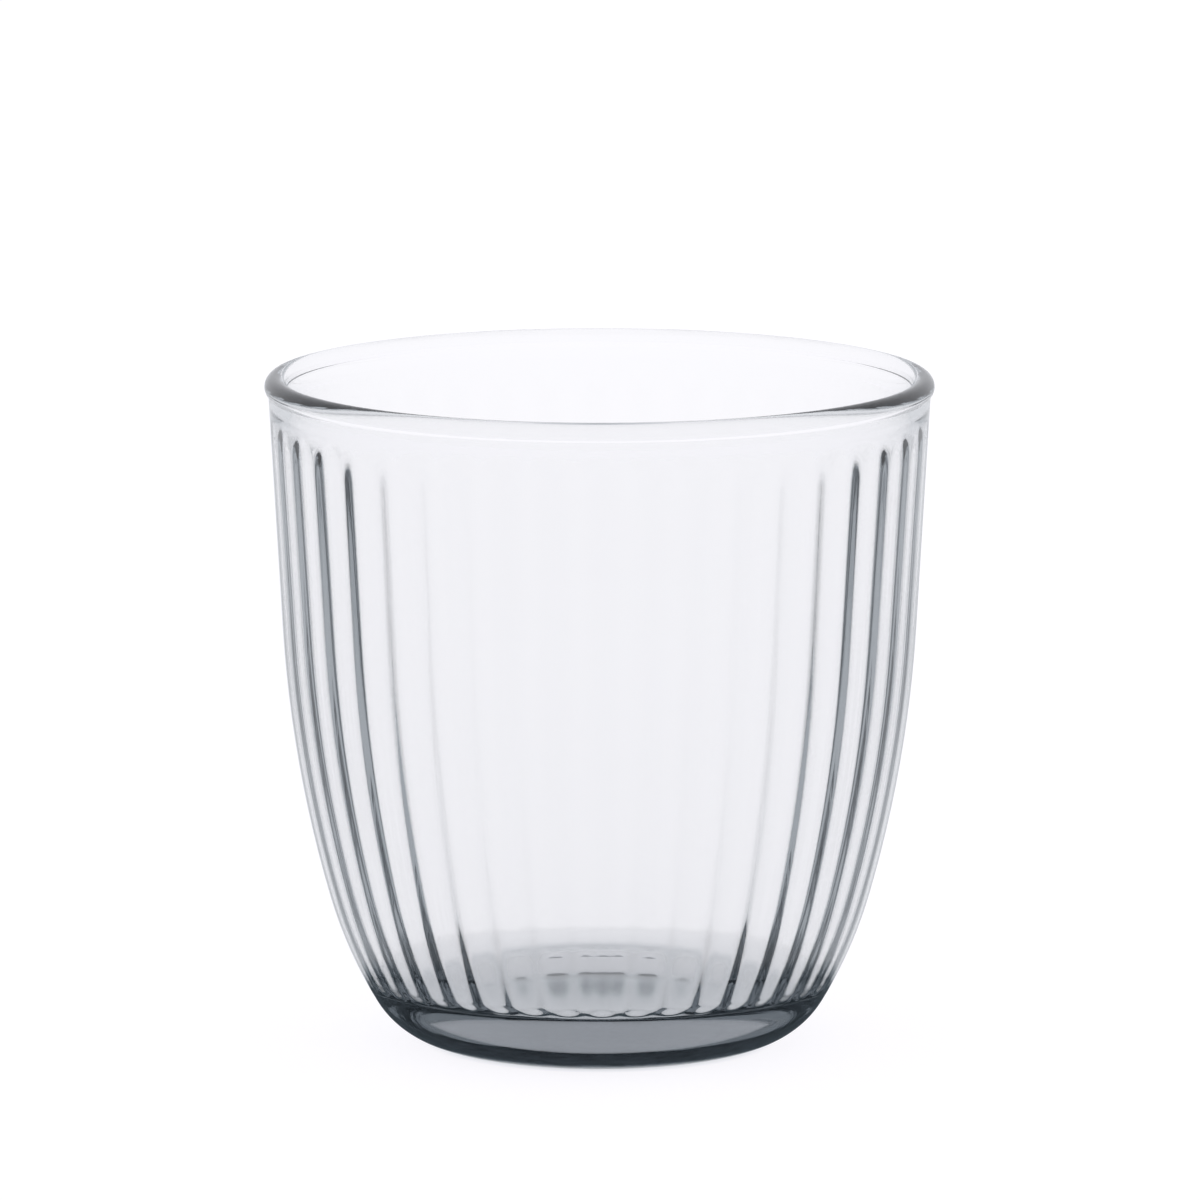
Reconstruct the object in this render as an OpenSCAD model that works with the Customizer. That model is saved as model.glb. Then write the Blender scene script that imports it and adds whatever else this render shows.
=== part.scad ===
// Juice tumbler of pressed clear glass, in one piece. The outside is smooth, and rounded ribs
// stand side by side on the inside of the wall. At the top they run into a plain band as high as
// they are, and at the bottom they run out in the corner.
// Millimetres, +Z up, with the origin at the centre of the base, on the table.
// The glass is one closed skin. Its rings of points run from the middle of the hollow under the
// base, up the outside, over the rim, down the ribs and in to the middle of the floor.

/* [Overall] */
// Height from the table to the top of the rim
glass_h = 85.3; // [82:0.1:95]
// Radius over the rounded rim
rim_r = 42.3; // [40:0.1:46]

/* [Outside of the wall] */
// Lean of the straight upper wall from upright, in degrees
lean = 3.25; // [2:0.25:5]
// Radius of the long barrel curve, seen from the side
barrel_r = 157; // [130:1:180]
// Slope where the barrel curve starts, in degrees from the table
barrel_slope = 74; // [72:0.5:77]
// Radius of the belly curve under the barrel
belly_r = 56; // [45:0.5:66]
// Slope where the belly curve starts, in degrees from the table
belly_slope = 59; // [52:0.5:66]
// Radius of the heel that turns in to the foot
heel_r = 11.5; // [8:0.5:15]
// Slope where the heel leaves the table, in degrees
heel_slope = 6.6; // [4:0.2:14]

/* [Foot] */
// Width of the flat ring that stands on the table
ring_w = 5; // [2:0.1:8]
// Rise of the hollow under the base, at its middle
hollow_h = 1; // [0.4:0.1:2]

/* [Rim] */
// Radius of the round fire-polished rim
bead_r = 1.4; // [1.2:0.05:1.6]
// How far the rim stands out from the wall
bead_out = 0.5; // [0.3:0.05:0.6]
// Height over which the plain band inside comes out from under the rim
shoulder_h = 1.4; // [0.5:0.1:2]

/* [Inside of the wall] */
// Lean of the straight upper part, in degrees
in_lean = 4.25; // [3.75:0.05:4.75]
// Radius of the long curve
in_barrel_r = 168; // [155:1:176]
// Slope where the long curve starts, in degrees from the table
in_barrel_slope = 74; // [73:0.25:75.5]
// Radius of the curve under it
in_belly_r = 51.5; // [46:0.5:56]
// Slope where that curve starts, in degrees from the table
in_belly_slope = 59.5; // [57.5:0.5:61.5]
// Radius of the corner that turns in to the floor
corner_r = 2.9; // [2:0.1:5]
// Slope at the edge of the nearly flat floor, in degrees
floor_slope = 1.7; // [1:0.1:5]
// Height of the edge of the floor over the table
floor_z = 8.55; // [7.5:0.05:10]

/* [Ribs] */
// Number of ribs round the wall
rib_n = 40; // [30:1:48]
// Height of a rib over the hollows beside it
rib_h = 0.4; // [0.2:0.05:0.6]
// Plain band from the top of the rim down to the hollows between the ribs
band_h = 5.8; // [4.5:0.1:8]
// Height of the rounded upper tip of a hollow
tip_h = 2.7; // [1.5:0.1:4]
// Slope of the corner where the tips of the ribs end, in degrees
tip_end_slope = 28; // [12:1:44]

/* [Smoothness] */
// Facets of the plain surfaces for each rib
plain_steps = 2; // [1:1:3]
// How many times finer the ribbed surface is
rib_fine = 3; // [2:1:4]
// Steps along each long curve
curve_steps = 3; // [2:1:5]
// Steps round the heel
heel_steps = 5; // [3:1:6]
// Steps over the rim
bead_steps = 6; // [4:1:12]
// Steps along a tip
tip_steps = 3; // [2:1:5]

/* [Hidden] */

// A curve of radius r that turns from slope a to slope b goes this far out and up
function run(r, a, b) = r * (sin(b) - sin(a));
function rise(r, a, b) = r * (cos(a) - cos(b));

// The circle of the rim starts this far under the level of its middle, and there the wall ends
bead_z = glass_h - bead_r;
bead_start = acos(1 - bead_out / bead_r);
wall_top_z = bead_z - bead_r * sin(bead_start);

// Outside, worked up from the table for heights and in from the rim for radii
wall_slope = 90 - lean;
belly_z = rise(heel_r, heel_slope, belly_slope);
barrel_z = belly_z + rise(belly_r, belly_slope, barrel_slope);
wall_z = barrel_z + rise(barrel_r, barrel_slope, wall_slope);
wall_r = rim_r - bead_out - (wall_top_z - wall_z) * tan(lean);
barrel_start_r = wall_r - run(barrel_r, barrel_slope, wall_slope);
belly_start_r = barrel_start_r - run(belly_r, belly_slope, barrel_slope);
foot_r = belly_start_r - run(heel_r, heel_slope, belly_slope);
hollow_r = foot_r - ring_w;

// Inside, in the same way, along the hollows between the ribs
in_slope = 90 - in_lean;
in_belly_z = floor_z + rise(corner_r, floor_slope, in_belly_slope);
in_barrel_z = in_belly_z + rise(in_belly_r, in_belly_slope, in_barrel_slope);
in_wall_z = in_barrel_z + rise(in_barrel_r, in_barrel_slope, in_slope);
in_top_r = rim_r - 2 * bead_r;
in_barrel_start_r = wall_inside(in_wall_z) - run(in_barrel_r, in_barrel_slope, in_slope);
in_belly_start_r = in_barrel_start_r - run(in_belly_r, in_belly_slope, in_barrel_slope);
floor_r = in_belly_start_r - run(corner_r, floor_slope, in_belly_slope);
floor_ball_r = floor_r / sin(floor_slope);

// Radius of the straight upper part of the inside at height z
function wall_inside(z) = in_top_r - (bead_z - z) * tan(in_lean);

// The hollows between the ribs end here under the plain band, and their upper tips start here
rib_top_z = glass_h - band_h;
tip_z = rib_top_z - tip_h;

// Columns of points round the plain surfaces
plain_n = rib_n * plain_steps;

// Points [radius, height, slope] along a curve of radius r that starts at p, for slopes from a
// up to but not with b
function curve(p, r, a, b, steps) = [
  for (i = [0:steps - 1])
    let (s = a + (b - a) * i / steps) [p[0] + run(r, a, s), p[1] + rise(r, a, s), s]
];

outside = [
  [hollow_r / 2, hollow_h * 3 / 4],
  [hollow_r, 0],
  each curve([foot_r, 0], heel_r, heel_slope, belly_slope, heel_steps),
  each curve([belly_start_r, belly_z], belly_r, belly_slope, barrel_slope, curve_steps),
  each curve([barrel_start_r, barrel_z], barrel_r, barrel_slope, wall_slope, curve_steps),
  [wall_r, wall_z],
  for (i = [0:bead_steps])
    let (a = (180 + bead_start) * i / bead_steps - bead_start)
      [rim_r - bead_r + bead_r * cos(a), bead_z + bead_r * sin(a)]
];

// The inside from the floor up. The last value is how far a tip has run out: down to -1 where
// the ribs end in the corner, and up to 1 where the hollows between them end under the band.
function with_tip(points, from, to) = [
  for (i = [0:len(points) - 1]) [each points[i], from + (to - from) * i / len(points)]
];
function corner(a, b, steps) =
  curve([floor_r + run(corner_r, floor_slope, a), floor_z + rise(corner_r, floor_slope, a)],
        corner_r, a, b, steps);
inside = [
  [floor_r / 2, floor_z - rise(floor_ball_r, 0, floor_slope) * 3 / 4, 0, -1],
  each with_tip(corner(floor_slope, tip_end_slope, 2), -1, -1),
  each with_tip(corner(tip_end_slope, in_belly_slope, tip_steps), -1, 0),
  each with_tip(curve([in_belly_start_r, in_belly_z], in_belly_r, in_belly_slope, in_barrel_slope,
                      curve_steps), 0, 0),
  each with_tip(curve([in_barrel_start_r, in_barrel_z], in_barrel_r, in_barrel_slope, in_slope,
                      curve_steps), 0, 0),
  [wall_inside(in_wall_z), in_wall_z, in_slope, 0],
  for (i = [0:tip_steps])
    let (z = tip_z + tip_h * i / tip_steps) [wall_inside(z), z, in_slope, i / tip_steps],
  [wall_inside(bead_z - shoulder_h), bead_z - shoulder_h, in_slope, 1]
];

// Height over the hollows, at a share of the way across from the crest of a rib to the middle of
// a hollow. Along an upper tip a hollow ends, and along a lower one a rib does.
function wave(across, along) =
  rib_h * (along > 0 ? 1 - cos(180 * min(1, norm([1 - across, along])))
                     : 1 + cos(180 * min(1, norm([across, along])))) / 2;

function plain_ring(p) = [
  for (i = [0:plain_n - 1])
    let (a = 360 * i / plain_n) [p[0] * cos(a), p[0] * sin(a), p[1]]
];
function ribbed_ring(p) = [
  for (i = [0:rib_fine * plain_n - 1])
    let (a = 360 * i / (rib_fine * plain_n),
         across = abs((i / (rib_fine * plain_steps) + 1 / 2) % 1 - 1 / 2) * 2,
         h = wave(across, p[3]),
         r = p[0] - h * sin(p[2]))
      [r * cos(a), r * sin(a), p[1] + h * cos(p[2])]
];

// Triangles from the ring of n points that starts at a to the next ring, at b, which has m times
// as many
function band(a, b, n, m = 1) = [
  for (i = [0:n - 1])
    let (next = (i + 1) % n, half = floor(m / 2)) each [
      [a + i, a + next, b + i * m + half],
      for (k = [0:m - 1])
        [a + (k < half ? i : next), b + (i * m + k + 1) % (n * m), b + i * m + k]
    ]
];

module tumbler() {
  fine_n = rib_fine * plain_n;
  outer_n = len(outside);
  inner_n = len(inside);
  first_inner = 1 + outer_n * plain_n;
  last = first_inner + inner_n * fine_n;
  points = [
    [0, 0, hollow_h],
    for (p = outside) each plain_ring(p),
    for (i = [1:inner_n]) each ribbed_ring(inside[inner_n - i]),
    [0, 0, floor_z - rise(floor_ball_r, 0, floor_slope)]
  ];
  faces = [
    for (i = [0:plain_n - 1]) [0, 1 + (i + 1) % plain_n, 1 + i],
    for (k = [0:outer_n - 2]) each band(1 + k * plain_n, 1 + (k + 1) * plain_n, plain_n),
    each band(first_inner - plain_n, first_inner, plain_n, rib_fine),
    for (k = [0:inner_n - 2]) each band(first_inner + k * fine_n, first_inner + (k + 1) * fine_n, fine_n),
    for (i = [0:fine_n - 1]) [last, last - fine_n + i, last - fine_n + (i + 1) % fine_n]
  ];
  echo(columns = plain_n, triangles = len(faces));
  color([0.9, 0.91, 0.95, 0.4]) polyhedron(points, faces);
}

tumbler();
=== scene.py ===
# A low juice tumbler of pressed clear glass on a white table.
# Metres, +Z up. The glass stands on z = 0 with its axis on the Z axis, and -Y faces the viewer.
from math import acos, atan, atan2, cos, degrees, hypot, pi, radians, sin

import bmesh
import bpy
from mathutils import Matrix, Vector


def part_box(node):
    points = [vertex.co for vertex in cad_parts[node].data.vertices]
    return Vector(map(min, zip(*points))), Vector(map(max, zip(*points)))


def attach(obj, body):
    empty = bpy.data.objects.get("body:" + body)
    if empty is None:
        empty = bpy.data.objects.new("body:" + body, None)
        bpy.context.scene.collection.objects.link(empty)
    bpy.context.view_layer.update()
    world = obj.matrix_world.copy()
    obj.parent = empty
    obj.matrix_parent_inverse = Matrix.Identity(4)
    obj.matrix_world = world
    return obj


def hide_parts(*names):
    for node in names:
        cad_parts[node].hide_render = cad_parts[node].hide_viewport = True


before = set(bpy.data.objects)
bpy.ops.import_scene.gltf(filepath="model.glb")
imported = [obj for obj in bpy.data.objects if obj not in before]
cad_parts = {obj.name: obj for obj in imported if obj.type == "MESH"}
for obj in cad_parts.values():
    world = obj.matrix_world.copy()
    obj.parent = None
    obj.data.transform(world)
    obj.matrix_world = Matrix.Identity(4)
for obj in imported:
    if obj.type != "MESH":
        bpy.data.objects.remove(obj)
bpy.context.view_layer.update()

mm = 0.001
quarterTurn = pi / 2

# The glass is one piece. Lengths in millimetres, slopes in degrees from the table.
tumbler = {
    "rimBead": 1.4,             # radius of the round fire-polished rim
    "beadOut": 0.5,             # how far the rim stands out from the wall
    "beadIn": 0.035,            # and in from the inside of the wall
    "shoulder": 2,              # the plain band inside comes out over this height under the rim
    "outsideLean": 3.25,        # lean of the straight upper wall from upright
    "outsideArcs": ((157, 74, 12), (56, 59, 12), (11.5, 6.6, 24)),   # radius, lower slope, rows
    "insideLean": 4.25,
    "insideArcs": ((168, 74, 12), (51.5, 59.5, 14), (2.9, 1.7, 26)),
    "floorHeight": 8.55,        # edge of the nearly flat floor over the table
    "footRing": 5,              # width of the flat ring that stands on the table
    "hollowRise": 1,            # rise of the hollow inside that ring
    "ribs": 40,
    "ribHeight": 0.4,
    "plainBand": 4.6,           # from the top of the rim to the hollows between the ribs
    "upperTip": 5.2,            # those hollows end in a round tip of this height
    "lowerTip": (50, 20),       # the ribs run out between these slopes of the corner
    "columnsPerRib": 12,
    "rows": {"hollow": 10, "ring": 2, "wall": 6, "rim": 28, "shoulder": 8, "band": 2, "tips": 10,
             "innerWall": 5, "floor": 10},
    "weld": 0.002,              # points that lie closer than this become one
}


def wallRun(arcs, lean, bottom, topRadius, top):
    # length of the straight part, and the radius at the bottom of the lowest arc
    slope, rise, run = 90 - lean, 0, 0
    for radius, lower, steps in arcs:
        rise += radius * (cos(radians(lower)) - cos(radians(slope)))
        run += radius * (sin(radians(slope)) - sin(radians(lower)))
        slope = lower
    straight = (top - bottom - rise) / cos(radians(lean))
    return straight, topRadius - straight * sin(radians(lean)) - run


def underRim(height, side):
    # where the round rim meets the wall: degrees below the level of its middle, and the height
    bead = tumbler["rimBead"]
    below = acos(1 - tumbler[side] / bead)
    return degrees(below), height - bead * (1 + sin(below))


class Outline:
    # a pen that draws half of the section of the glass, on the right of the Z axis
    def __init__(self, bm, x, z, heading):
        self.bm = bm
        self.tip = bmesh.ops.create_vert(bm, co=(x * mm, 0, z * mm))["vert"][0]
        self.heading = heading

    def line(self, length, rows):
        way = radians(self.heading)
        step = length * mm / rows
        for row in range(rows):
            grown = bmesh.ops.extrude_vert_indiv(self.bm, verts=[self.tip])
            self.tip = grown["verts"][0]
            bmesh.ops.translate(self.bm, verts=[self.tip], vec=(step * cos(way), 0, step * sin(way)))

    def arc(self, radius, turn, rows):
        # turns to the left where turn is positive
        side = radians(self.heading) + (quarterTurn if turn > 0 else -quarterTurn)
        centre = (self.tip.co.x + radius * mm * cos(side), 0, self.tip.co.z + radius * mm * sin(side))
        spun = bmesh.ops.spin(self.bm, geom=[self.tip], cent=centre, axis=(0, 1, 0), angle=-radians(turn),
                              steps=rows, use_duplicate=False)
        self.tip = [v for v in spun["geom_last"] if isinstance(v, bmesh.types.BMVert)][0]
        self.heading += turn


def drawSection(bm, height, rimRadius):
    t = tumbler
    rows = t["rows"]
    outFrom, outerTop = underRim(height, "beadOut")
    inFrom, innerTop = underRim(height, "beadIn")
    outside, footRadius = wallRun(t["outsideArcs"], t["outsideLean"], 0,
                                  rimRadius - t["beadOut"], outerTop)
    inside, floorRadius = wallRun(t["insideArcs"], t["insideLean"], t["floorHeight"],
                                  rimRadius - 2 * t["rimBead"] + t["beadIn"], innerTop)

    # the hollow under the base, and the ring that stands on the table
    hollowRadius = footRadius - t["footRing"]
    hollowTurn = 2 * atan(t["hollowRise"] / hollowRadius)
    pen = Outline(bm, 0, t["hollowRise"], 0)
    pen.arc(hollowRadius / sin(hollowTurn), -degrees(hollowTurn), rows["hollow"])
    pen.heading = 0
    pen.line(t["footRing"], rows["ring"])

    # heel, belly, barrel and straight wall
    slopes = [90 - t["outsideLean"]] + [lower for radius, lower, steps in t["outsideArcs"]]
    pen.heading = slopes.pop()
    for (radius, lower, steps), upper in zip(reversed(t["outsideArcs"]), reversed(slopes)):
        pen.arc(radius, upper - lower, steps)
    pen.line(outside, rows["wall"])

    # the rim
    pen.heading = 90 - outFrom
    pen.arc(t["rimBead"], 180 + outFrom + inFrom, rows["rim"])

    # down the inside: the plain band, the rows round the upper tips, then the wall and the corner
    pen.heading = -90 - t["insideLean"]
    lean = cos(radians(t["insideLean"]))
    shoulder = t["shoulder"] / lean
    band = (innerTop - height + t["plainBand"]) / lean
    tip = t["upperTip"] / lean
    pen.line(shoulder, rows["shoulder"])
    pen.line(band - shoulder, rows["band"])
    pen.line(tip, rows["tips"])
    pen.line(inside - band - tip, rows["innerWall"])
    slope = 90 - t["insideLean"]
    for radius, lower, steps in t["insideArcs"]:
        pen.arc(radius, lower - slope, steps)
        slope = lower
    pen.arc(floorRadius / sin(radians(slope)), -slope, rows["floor"])


def raiseRibs(bm, height):
    # Across the inner wall the ribs are waves. At the top the hollows between them end in round
    # tips under a plain band as high as the ribs, and in the corner the ribs end in such tips.
    t = tumbler
    bandTop = underRim(height, "beadIn")[1]
    ribTop = height - t["plainBand"]
    full, gone = t["lowerTip"]
    bm.normal_update()
    for v in bm.verts:
        n = v.normal
        z = v.co.z / mm
        if n.x * v.co.x + n.y * v.co.y >= 0 or n.z <= 0 or z > bandTop:
            continue
        # 0 on the crest of a rib and 1 in the middle of a hollow
        place = atan2(v.co.x, -v.co.y) * t["ribs"] / (2 * pi)
        across = 2 * abs((place + 1 / 2) % 1 - 1 / 2)
        fromTop = min(1, max(0, 1 - (ribTop - z) / t["upperTip"]))
        fromFloor = min(1, max(0, (full - degrees(acos(min(1, n.z)))) / (full - gone)))
        if fromTop > 0:
            share = (1 - cos(pi * min(1, hypot(1 - across, fromTop)))) / 2
            share *= sin(quarterTurn * min(1, (bandTop - z) / t["shoulder"]))
        else:
            share = (1 + cos(pi * min(1, hypot(across, fromFloor)))) / 2
        v.co += n * (t["ribHeight"] * mm * share)


def makeObject(bm, name):
    mesh = bpy.data.meshes.new(name)
    bm.to_mesh(mesh)
    bm.free()
    made = bpy.data.objects.new(name, mesh)
    bpy.context.scene.collection.objects.link(made)
    return made


def makeTumbler():
    low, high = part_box("tumbler")
    height, rimRadius = high.z / mm, high.x / mm
    bm = bmesh.new()
    drawSection(bm, height, rimRadius)
    columns = tumbler["ribs"] * tumbler["columnsPerRib"]
    # an eighth of a turn is spun and then doubled three times, which is quicker than one long spin
    bmesh.ops.spin(bm, geom=bm.verts[:] + bm.edges[:], cent=(0, 0, 0), axis=(0, 0, 1),
                   angle=quarterTurn / 2, steps=columns // 8, use_duplicate=False)
    for turn in (quarterTurn / 2, quarterTurn, 2 * quarterTurn):
        copied = bmesh.ops.duplicate(bm, geom=bm.verts[:] + bm.edges[:] + bm.faces[:])["geom"]
        bmesh.ops.rotate(bm, cent=(0, 0, 0), matrix=Matrix.Rotation(turn, 3, "Z"),
                         verts=[v for v in copied if isinstance(v, bmesh.types.BMVert)])
    bmesh.ops.remove_doubles(bm, verts=bm.verts, dist=tumbler["weld"] * mm)
    bmesh.ops.recalc_face_normals(bm, faces=bm.faces)
    raiseRibs(bm, height)
    for face in bm.faces:
        face.smooth = True
    print("tumbler:", len(bm.faces), "faces,", sum(len(e.link_faces) != 2 for e in bm.edges),
          "open edges,", round(bm.calc_volume(signed=True) / mm ** 3), "mm3")
    return makeObject(bm, "tumbler_glass")


def setInputs(node, values):
    for name, value in values.items():
        node.inputs[name].default_value = value


# The finish: clear glass with a very pale grey blue depth, and the faint ripple of a pressed wall
clearGlass = {
    "ior": 1.517,
    "absorbColour": (0.79, 0.80, 0.81, 1),
    "absorbDensity": 94,        # per metre, for what the colour above lacks of white
    "rippleScale": 60,
    "rippleDetail": 1,
    "rippleHeight": 0.004,      # millimetres
}


def glassMaterial():
    g = clearGlass
    material = bpy.data.materials.new("clear_pressed_glass")
    material.use_nodes = True
    tree = material.node_tree
    shader = tree.nodes["Principled BSDF"]
    setInputs(shader, {"Base Color": (1, 1, 1, 1), "Metallic": 0, "Roughness": 0, "IOR": g["ior"],
                       "Transmission Weight": 1})

    place = tree.nodes.new("ShaderNodeTexCoord")
    ripple = tree.nodes.new("ShaderNodeTexNoise")
    setInputs(ripple, {"Scale": g["rippleScale"], "Detail": g["rippleDetail"]})
    bump = tree.nodes.new("ShaderNodeBump")
    setInputs(bump, {"Distance": g["rippleHeight"] * mm})
    tree.links.new(place.outputs["Object"], ripple.inputs["Vector"])
    tree.links.new(ripple.outputs["Fac"], bump.inputs["Height"])
    tree.links.new(bump.outputs["Normal"], shader.inputs["Normal"])

    depth = tree.nodes.new("ShaderNodeVolumeAbsorption")
    setInputs(depth, {"Color": g["absorbColour"], "Density": g["absorbDensity"]})
    tree.links.new(depth.outputs["Volume"], tree.nodes["Material Output"].inputs["Volume"])
    return material


# The studio: a white table that runs out of sight, and a white room. They are dimmer in light
# that has been mirrored, and the table under the glass and close to it carries a painted shadow.
studio = {
    "tableSize": 30,            # metres
    "tableColour": 0.86,
    "shadowShare": 0.15,        # how much of the table's own shading is seen
    "roomLight": 1.16,
    "whiteLight": (1.05, 1.04, 1.08),
    "dimPower": (1.18, 1.06, 1),            # dim light is a little bluer
    "tableByMirrors": ((0, 1), (1, 0.78), (2, 1), (3, 0.5)),    # times mirrored, brightness
    "roomByMirrors": ((0, 1), (1, 0.84), (3, 0.5)),
    "mostMirrors": 10,
    # painted shadow on the table: millimetres from the axis and brightness, and the same after an odd
    # number of mirrorings
    "paintedShadowStraight": ((0, 0.14), (4, 0.28), (8, 0.6), (14, 0.74), (20, 0.78), (22.5, 1)),
    "paintedShadowMirrored": ((0, 0.75), (21.5, 0.9), (22.5, 0.12), (40, 0.12), (46, 1)),
    "paintedShadowReach": 100,          # both are laid out over this distance
    "bounces": 32,              # enough for the long ways through the base
    "glossyBounces": 24,
}


def ramp(tree, value, stops, span, style):
    # looks the value up in stops (value, brightness) that lie between 0 and span
    share = tree.nodes.new("ShaderNodeMapRange")
    setInputs(share, {"From Max": span})
    tree.links.new(value, share.inputs["Value"])
    band = tree.nodes.new("ShaderNodeValToRGB")
    band.color_ramp.interpolation = style
    marks = band.color_ramp.elements
    marks.remove(marks[1])
    for i, (at, brightness) in enumerate(stops):
        mark = marks.new(at / span) if i else marks[0]
        mark.color = (brightness, brightness, brightness, 1)
    tree.links.new(share.outputs["Result"], band.inputs["Fac"])
    return band.outputs["Color"]


def operate(tree, kind, how, *values):
    # a Math or Vector Math node, given plain values or the outputs of other nodes
    node = tree.nodes.new(kind)
    node.operation = how
    for slot, value in zip(node.inputs, values):
        if isinstance(value, bpy.types.NodeSocket):
            tree.links.new(value, slot)
        else:
            slot.default_value = value
    return node


def combine(tree, how, a, b):
    return operate(tree, "ShaderNodeMath", how, a, b).outputs["Value"]


def combineColours(tree, how, a, b):
    return operate(tree, "ShaderNodeVectorMath", how, a, b).outputs["Vector"]


def timesMirrored(tree):
    return tree.nodes.new("ShaderNodeLightPath").outputs["Glossy Depth"]


def byMirrors(tree, stops):
    # brightness by the times a ray was mirrored, read half a count on, in the middle of its step
    count = combine(tree, "ADD", timesMirrored(tree), 1 / 2)
    return ramp(tree, count, stops, studio["mostMirrors"], "CONSTANT")


def clearPath(tree):
    # 1 for what is seen straight, mirrored or through glass, and 0 for what only lights things
    path = tree.nodes.new("ShaderNodeLightPath")
    glassy = combine(tree, "MAXIMUM", path.outputs["Is Glossy Ray"], path.outputs["Is Transmission Ray"])
    return combine(tree, "MAXIMUM", path.outputs["Is Camera Ray"], glassy)


def tableBrightnessWithPaintedShadow(tree):
    # painted shadow on the table under and round the glass, by distance from the axis, times the dimming
    # by mirrorings
    s = studio
    place = tree.nodes.new("ShaderNodeTexCoord").outputs["Object"]
    fromAxis = operate(tree, "ShaderNodeVectorMath", "LENGTH", place).outputs["Value"]
    paintedShadow = tree.nodes.new("ShaderNodeMixRGB")
    for slot, name in (("Color1", "paintedShadowStraight"), ("Color2", "paintedShadowMirrored")):
        stops = [(at * mm, brightness) for at, brightness in s[name]]
        tree.links.new(ramp(tree, fromAxis, stops, s["paintedShadowReach"] * mm, "LINEAR"), paintedShadow.inputs[slot])
    oddCount = combine(tree, "MODULO", timesMirrored(tree), 2)
    tree.links.new(oddCount, paintedShadow.inputs["Fac"])
    return combine(tree, "MULTIPLY", paintedShadow.outputs["Color"], byMirrors(tree, s["tableByMirrors"]))


def tinted(tree, brightness):
    bluer = combineColours(tree, "POWER", brightness, studio["dimPower"])
    return combineColours(tree, "MULTIPLY", bluer, studio["whiteLight"])


def makeTable():
    bm = bmesh.new()
    bmesh.ops.create_grid(bm, x_segments=1, y_segments=1, size=studio["tableSize"] / 2)
    table = makeObject(bm, "table")
    material = bpy.data.materials.new("white_table")
    material.use_nodes = True
    tree = material.node_tree
    tree.nodes.remove(tree.nodes["Principled BSDF"])
    # the table's colour and glow both carry the painted shadow round the glass
    brightness = tableBrightnessWithPaintedShadow(tree)
    matt = tree.nodes.new("ShaderNodeBsdfDiffuse")
    tree.links.new(combine(tree, "MULTIPLY", brightness, studio["tableColour"]), matt.inputs["Color"])
    bright = tree.nodes.new("ShaderNodeEmission")
    tree.links.new(tinted(tree, brightness), bright.inputs["Color"])
    seen = tree.nodes.new("ShaderNodeMixShader")
    plainShare = combine(tree, "MULTIPLY", clearPath(tree), 1 - studio["shadowShare"])
    tree.links.new(plainShare, seen.inputs["Fac"])
    tree.links.new(matt.outputs["BSDF"], seen.inputs[1])
    tree.links.new(bright.outputs["Emission"], seen.inputs[2])
    tree.links.new(seen.outputs["Shader"], tree.nodes["Material Output"].inputs["Surface"])
    table.data.materials.append(material)


def makeRoom():
    world = bpy.data.worlds.new("white_room")
    world.use_nodes = True
    bpy.context.scene.world = world
    tree = world.node_tree
    seen = tree.nodes["Background"]
    tree.links.new(tinted(tree, byMirrors(tree, studio["roomByMirrors"])), seen.inputs["Color"])
    lights = tree.nodes.new("ShaderNodeBackground")
    setInputs(lights, {"Color": (1, 1, 1, 1), "Strength": studio["roomLight"]})
    mix = tree.nodes.new("ShaderNodeMixShader")
    tree.links.new(clearPath(tree), mix.inputs["Fac"])
    tree.links.new(lights.outputs["Background"], mix.inputs[1])
    tree.links.new(seen.outputs["Background"], mix.inputs[2])
    tree.links.new(mix.outputs["Shader"], tree.nodes["World Output"].inputs["Surface"])


# The viewer of the photograph, in millimetres and degrees
viewer = {
    "distance": 1556.66,
    "elevation": 9.934,
    "target": 42.65,            # height looked at
    "middleAbove": 107.09,      # pixels from the target up to the middle of the picture
    "focalPixels": 12286,
    "pictureSide": 1200,
    "sensorWidth": 36,
    "nearest": 100,
    "farthest": 60000,
    "turn": 0.7,                # a rib crest stands this far to the right of the middle
    "aside": 0.06,              # the viewer stands this far to the right of the glass
}


def placeCamera():
    v = viewer
    up = radians(v["elevation"])
    camera = bpy.data.cameras.new("viewer")
    holder = bpy.data.objects.new("viewer", camera)
    bpy.context.scene.collection.objects.link(holder)
    turn = Matrix.Rotation(-radians(v["turn"]), 4, "Z")
    place = Matrix.Translation((v["aside"] * mm, -v["distance"] * cos(up) * mm,
                                (v["target"] + v["distance"] * sin(up)) * mm))
    tilt = Matrix.Rotation(quarterTurn - up + atan(v["middleAbove"] / v["focalPixels"]), 4, "X")
    holder.matrix_world = turn @ place @ tilt
    camera.sensor_width = v["sensorWidth"]
    camera.lens = camera.sensor_width * v["focalPixels"] / v["pictureSide"]
    camera.clip_start = v["nearest"] * mm
    camera.clip_end = v["farthest"] * mm
    bpy.context.scene.camera = holder


placeCamera()
makeTable()
makeRoom()
print("studio: table, room and camera")

glass = makeTumbler()
glass.data.materials.append(glassMaterial())
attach(glass, "root")
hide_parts("tumbler")

cycles = bpy.context.scene.cycles
cycles.max_bounces = studio["bounces"]
cycles.transmission_bounces = studio["bounces"]
cycles.glossy_bounces = studio["glossyBounces"]
bpy.context.scene.view_settings.view_transform = "Standard"
